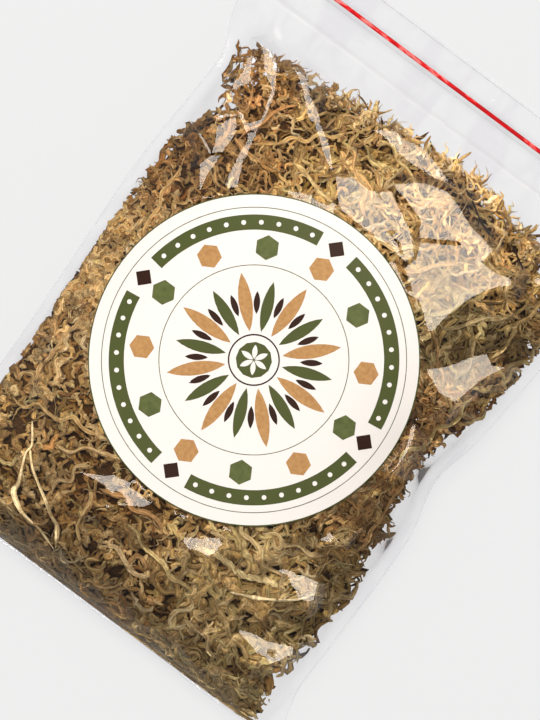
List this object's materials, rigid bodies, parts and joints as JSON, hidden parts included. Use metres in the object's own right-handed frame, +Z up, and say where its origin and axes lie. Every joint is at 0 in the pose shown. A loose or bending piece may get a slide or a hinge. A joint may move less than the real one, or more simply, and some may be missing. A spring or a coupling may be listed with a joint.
{
  "type": "bag of dried sphagnum moss",
  "caption": "Clear press-seal film bag filled with dried sphagnum moss, lying on its back, with a blank round paper label on its front.",
  "frame": {"origin": "on the surface the bag lies on, under the middle of the bag's outline", "axes": "+Y from the bottom fold to the press-seal mouth, +X to the bag's right seen from its front, +Z up out of the front"},
  "size_m": [0.258, 0.35, 0.063],
  "materials": {
    "film": "clear, glossy, wrinkled",
    "seal": "satin red bead on a clear tape",
    "label": "matt, cream, printed olive green",
    "moss": "matt, fibrous, dry",
    "straw": "matt, dry straw",
    "dark_stem": "matt, dry"
  },
  "bodies": {
    "root": {"bag_film": "film", "zip_track_front": "seal", "zip_track_back": "seal", "label": "label", "moss_mass": "moss", "straw_stem_left": "straw", "straw_stem_right": "straw", "straw_stem_low": "straw", "dark_stem_upper": "dark_stem", "dark_stem_lower": "dark_stem", "rope_strand": "moss", "moss_strand_01": "moss", "moss_strand_02": "moss", "moss_strand_03": "moss", "moss_strand_04": "moss", "moss_strand_05": "moss", "moss_strand_06": "moss", "moss_strand_07": "moss", "moss_strand_08": "moss", "moss_strand_09": "moss", "moss_strand_10": "moss", "moss_strand_11": "moss", "moss_strand_12": "moss", "moss_strand_13": "moss", "moss_strand_14": "moss", "moss_strand_15": "moss", "moss_strand_16": "moss", "moss_strand_17": "moss", "moss_strand_18": "moss", "moss_strand_19": "moss", "moss_strand_20": "moss", "moss_strand_21": "moss", "moss_strand_22": "moss", "moss_strand_23": "moss", "moss_strand_24": "moss", "moss_strand_25": "moss", "moss_strand_26": "moss", "moss_strand_27": "moss", "moss_strand_28": "moss", "moss_strand_29": "moss", "moss_strand_30": "moss", "moss_strand_31": "moss", "moss_strand_32": "moss", "moss_strand_33": "moss", "moss_strand_34": "moss", "moss_strand_35": "moss", "moss_strand_36": "moss"}
  },
  "joints": []
}
